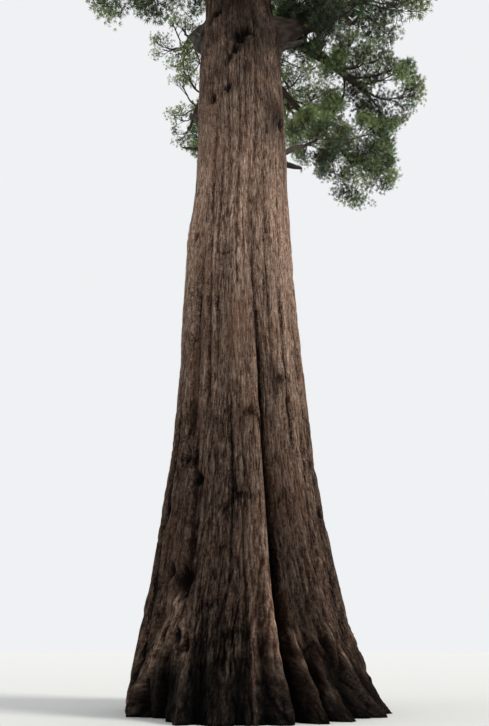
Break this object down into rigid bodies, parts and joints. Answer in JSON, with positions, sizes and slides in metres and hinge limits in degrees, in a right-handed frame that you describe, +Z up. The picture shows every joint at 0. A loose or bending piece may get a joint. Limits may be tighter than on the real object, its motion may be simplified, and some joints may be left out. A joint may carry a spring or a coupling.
{
  "type": "giant sequoia tree",
  "caption": "Old giant sequoia: huge fluted trunk with flared root buttresses, heavy boughs high up and a crown of separate rounded foliage masses.",
  "frame": {"origin": "middle of the flat cut under the trunk, at ground level", "axes": "+Z up along the trunk; -Y is the side with the deep seam between two root buttresses, which faces the picture's camera; +X is the picture's right"},
  "size_m": [14.5625, 15.4331, 39.9866],
  "materials": {
    "bark": "thick, soft, fibrous bark in long vertical ridges, cinnamon brown weathered to grey",
    "bough_bark": "scaly brown bark of the limbs, darker than the trunk",
    "dead_wood": "weathered grey-brown dead wood with splintered ends",
    "foliage": "dense cord-like sprays of small scale leaves, deep blue-green to yellow-green"
  },
  "bodies": {
    "root": {"trunk": "bark", "bough_hanging_1": "bough_bark", "bough_hanging_2": "bough_bark", "bough_hanging_3": "bough_bark", "bough_hanging_4": "bough_bark", "bough_hanging_5": "bough_bark", "bough_hanging_6": "bough_bark", "bough_lower_1": "bough_bark", "bough_lower_2": "bough_bark", "bough_lower_3": "bough_bark", "bough_lower_4": "bough_bark", "bough_lower_5": "bough_bark", "bough_lower_6": "bough_bark", "bough_lower_7": "bough_bark", "bough_lower_8": "bough_bark", "bough_middle_1": "bough_bark", "bough_middle_2": "bough_bark", "bough_middle_3": "bough_bark", "bough_middle_4": "bough_bark", "bough_middle_5": "bough_bark", "bough_middle_6": "bough_bark", "bough_middle_7": "bough_bark", "bough_upper_1": "bough_bark", "bough_upper_4": "bough_bark", "dead_stub_left_high": "dead_wood", "dead_stub_left_middle": "dead_wood", "dead_stub_left_low": "dead_wood", "dead_stub_right_high": "dead_wood", "dead_stub_right_low": "dead_wood", "foliage_hanging_1": "foliage", "foliage_hanging_2": "foliage", "foliage_hanging_3": "foliage", "foliage_hanging_4": "foliage", "foliage_hanging_5": "foliage", "foliage_hanging_6": "foliage", "foliage_lower_1": "foliage", "foliage_lower_2": "foliage", "foliage_lower_3": "foliage", "foliage_lower_4": "foliage", "foliage_lower_5": "foliage", "foliage_lower_6": "foliage", "foliage_lower_7": "foliage", "foliage_lower_8": "foliage", "foliage_middle_1": "foliage", "foliage_middle_2": "foliage", "foliage_middle_3": "foliage", "foliage_middle_4": "foliage", "foliage_middle_5": "foliage", "foliage_middle_6": "foliage", "foliage_middle_7": "foliage", "foliage_upper_1": "foliage", "foliage_upper_2": "foliage", "foliage_upper_3": "foliage", "foliage_upper_4": "foliage", "foliage_upper_5": "foliage", "foliage_upper_6": "foliage", "foliage_head_1": "foliage", "foliage_head_2": "foliage", "foliage_head_3": "foliage", "foliage_top": "foliage"}
  },
  "joints": []
}
